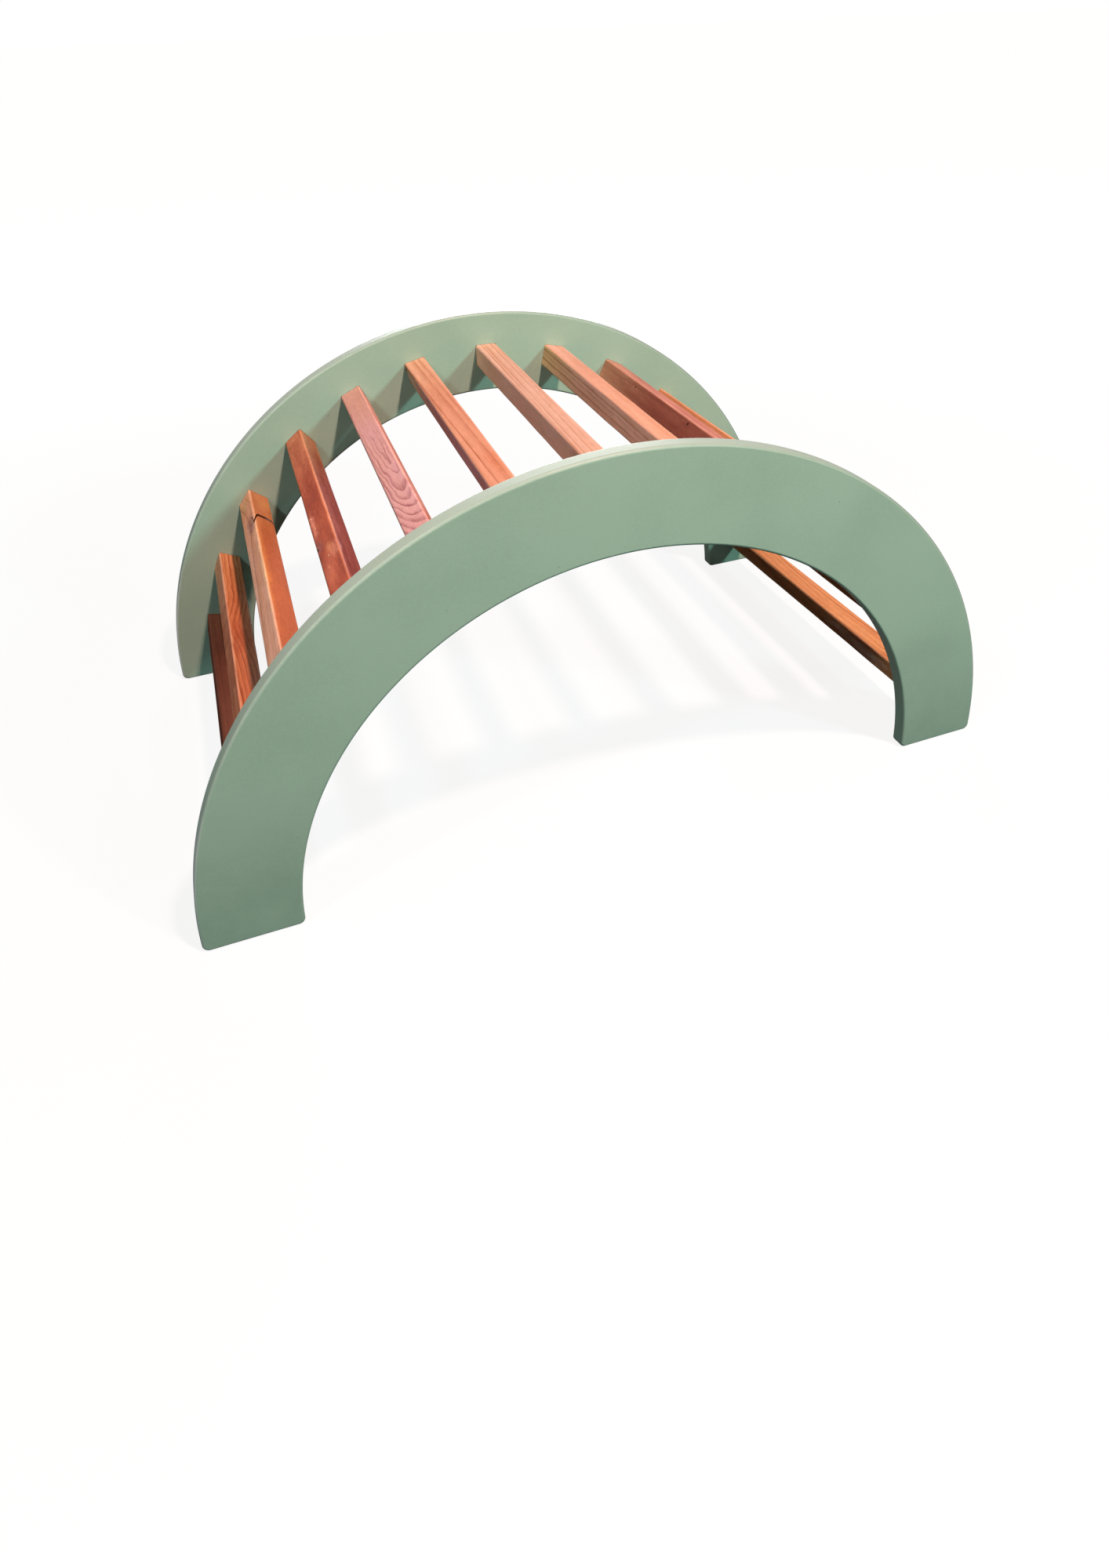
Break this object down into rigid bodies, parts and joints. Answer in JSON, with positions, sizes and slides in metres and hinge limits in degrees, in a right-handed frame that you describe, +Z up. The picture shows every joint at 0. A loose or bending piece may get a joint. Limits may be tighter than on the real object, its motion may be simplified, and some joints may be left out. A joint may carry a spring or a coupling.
{
  "type": "rocker arch",
  "caption": "Wooden climbing and rocking arch: two painted half-ring side panels joined by square wooden rungs set round the arc.",
  "frame": {"origin": "middle of the footprint, on the floor that the four feet stand on", "axes": "+X along the arch towards the right foot, +Y from the front panel to the back panel, +Z up"},
  "size_m": [0.899, 0.514, 0.4359],
  "materials": {
    "panel_paint": "satin sage green paint",
    "rung_wood_red": "oiled softwood, red brown",
    "rung_wood_orange": "oiled softwood, orange",
    "rung_wood_pink": "oiled softwood, pink",
    "rung_wood_salmon": "oiled softwood, salmon",
    "screw_steel": "zinc plated",
    "plug_wood": "flush plug under the panel's paint"
  },
  "bodies": {
    "root": {"front_side_panel": "panel_paint", "back_side_panel": "panel_paint", "rung_01": "rung_wood_red", "rung_02": "rung_wood_orange", "rung_03": "rung_wood_orange", "rung_04": "rung_wood_red", "rung_05": "rung_wood_pink", "rung_06": "rung_wood_salmon", "rung_07": "rung_wood_salmon", "rung_08": "rung_wood_salmon", "rung_09": "rung_wood_red", "rung_10": "rung_wood_orange", "rung_11": "rung_wood_salmon", "rung_12": "rung_wood_salmon", "rung_13": "rung_wood_orange", "front_screws": "screw_steel", "back_screws": "screw_steel", "front_screw_plugs": "plug_wood", "back_screw_plugs": "plug_wood"}
  },
  "joints": []
}
